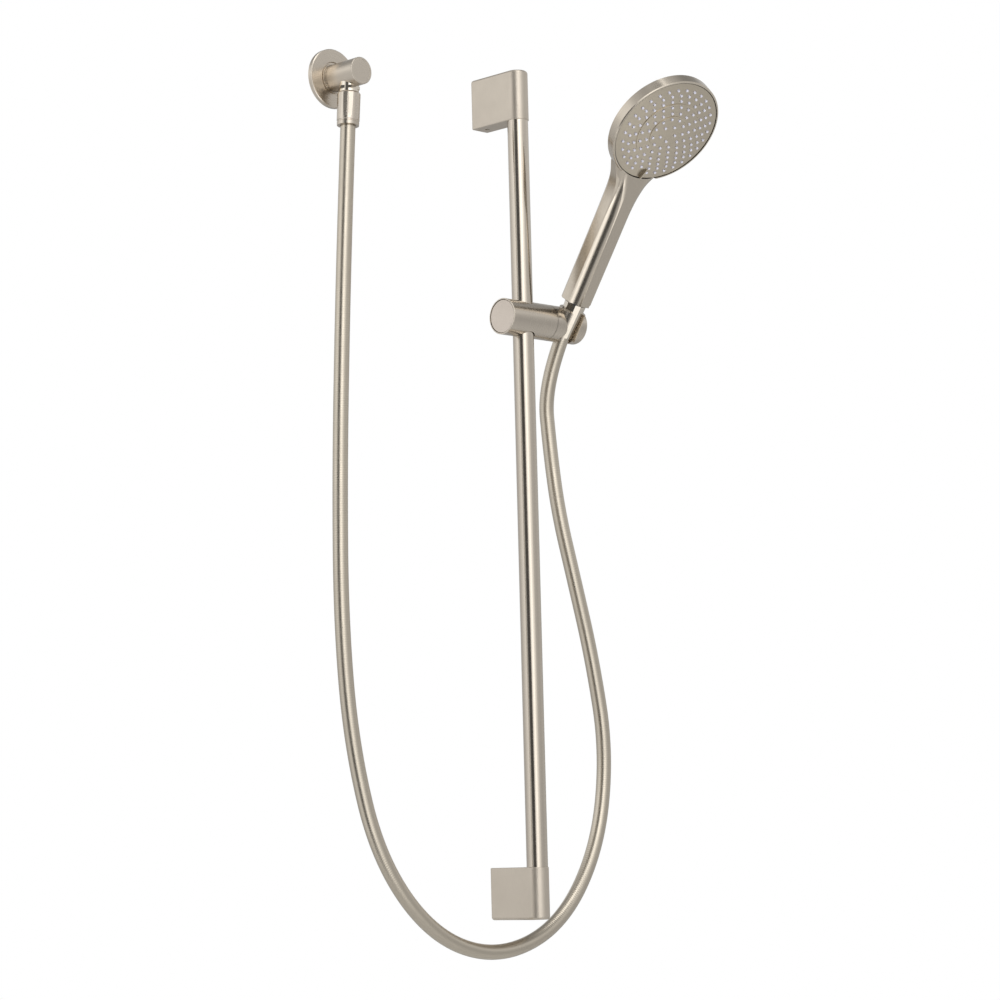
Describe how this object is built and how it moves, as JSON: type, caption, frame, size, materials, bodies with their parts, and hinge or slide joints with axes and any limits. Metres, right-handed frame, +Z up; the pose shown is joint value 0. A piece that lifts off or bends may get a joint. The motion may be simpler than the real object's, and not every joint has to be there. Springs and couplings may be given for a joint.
{
  "type": "rail shower set",
  "caption": "Handheld shower head on a sliding, tilting holder, with its wall rail, hose and wall outlet elbow; turning spray face and press-to-slide button.",
  "frame": {"origin": "centre of the upper bracket's wall face", "axes": "+Y into the wall, +Z up the rail, +X to the right along the wall"},
  "size_m": [0.3796, 0.2627, 0.9283],
  "materials": {
    "brushed_nickel": "warm brushed nickel",
    "nickel_face": "satin nickel spray face",
    "bright_nickel": "bright nickel",
    "hose_skin": "satin metallic hose",
    "nozzle_rubber": "pale lilac silicone",
    "dark_rubber": "black rubber",
    "white_plastic": "natural white plastic",
    "grey_plastic": "grey plastic",
    "brass": "turned brass",
    "spring_steel": "drawn spring steel",
    "cast_zinc": "die cast zinc"
  },
  "bodies": {
    "wall_set": {"rail_tube": "brushed_nickel", "rail_plug_upper": "grey_plastic", "rail_plug_lower": "grey_plastic", "bracket_upper": "brushed_nickel", "bracket_lower": "brushed_nickel", "wall_block_upper": "cast_zinc", "wall_block_lower": "cast_zinc", "grub_screw_upper": "spring_steel", "grub_screw_lower": "spring_steel", "outlet_body": "brushed_nickel", "outlet_face_cap": "brushed_nickel", "outlet_flange": "brushed_nickel", "flange_seal": "dark_rubber", "outlet_nipple": "bright_nickel", "outlet_o_ring": "dark_rubber", "check_valve_body": "white_plastic", "check_valve_poppet": "white_plastic", "check_valve_spring": "spring_steel", "hose_nut_outlet": "brushed_nickel", "hose_washer_outlet": "dark_rubber", "hose_ferrule_outlet": "brass", "hose": "hose_skin", "hose_liner": "dark_rubber"},
    "carriage": {"rail_bush_upper": "white_plastic", "rail_bush_lower": "white_plastic"},
    "slider": {"slider_body": "brushed_nickel", "button_spring": "spring_steel", "pivot_washer": "spring_steel", "friction_washer": "white_plastic"},
    "button": {"release_button": "brushed_nickel", "grip_plunger": "grey_plastic", "grip_pad": "dark_rubber"},
    "holder": {"holder_body": "brushed_nickel", "pivot_axle": "spring_steel"},
    "hose_end": {"hose_ferrule_handset": "brass", "filter_washer": "dark_rubber"},
    "handset": {"handset_shell": "brushed_nickel", "inlet_nipple": "brass", "foot_gasket": "dark_rubber", "water_tube": "grey_plastic", "tube_o_rings": "dark_rubber", "manifold": "grey_plastic", "manifold_seal": "dark_rubber", "face_screw": "spring_steel", "hose_nut_handset": "bright_nickel"},
    "spray_face": {"face_plate": "nickel_face", "nozzle_mat": "nozzle_rubber", "flow_disc": "grey_plastic"}
  },
  "joints": [
    {"name": "slider_slide", "type": "slide", "parent": "wall_set", "child": "carriage", "axis": [0, 0, 1], "range_m": [-0.549, 0.191], "deforming": ["hose", "hose_liner"]},
    {"name": "slider_turn", "type": "hinge", "parent": "carriage", "child": "slider", "pos_m": [0, -0.058, -0.2385], "axis": [0, 0, 1], "range_deg": [-90, 25]},
    {"name": "button_press", "type": "slide", "parent": "slider", "child": "button", "axis": [1, 0, 0], "range_m": [0, 0.002], "stiffness_N_per_m": 4000, "springref_m": -0.002, "deforming": ["button_spring"]},
    {"name": "holder_tilt", "type": "hinge", "parent": "slider", "child": "holder", "pos_m": [0.034, -0.058, -0.2385], "axis": [1, 0, 0], "range_deg": [-33.5, 45]},
    {"name": "handset_lift", "type": "slide", "parent": "holder", "child": "hose_end", "axis": [0, -0.5519, 0.8339], "range_m": [0, 0.12]},
    {"name": "handset_turn", "type": "hinge", "parent": "hose_end", "child": "handset", "pos_m": [0.0577, -0.0665, -0.2385], "axis": [0, -0.5519, 0.8339], "range_deg": [-90, 90]},
    {"name": "spray_select", "type": "hinge", "parent": "handset", "child": "spray_face", "pos_m": [0.05556, -0.21769, -0.05939], "axis": [-0.0763, -0.6795, -0.7297], "range_deg": [-40, 40]}
  ]
}
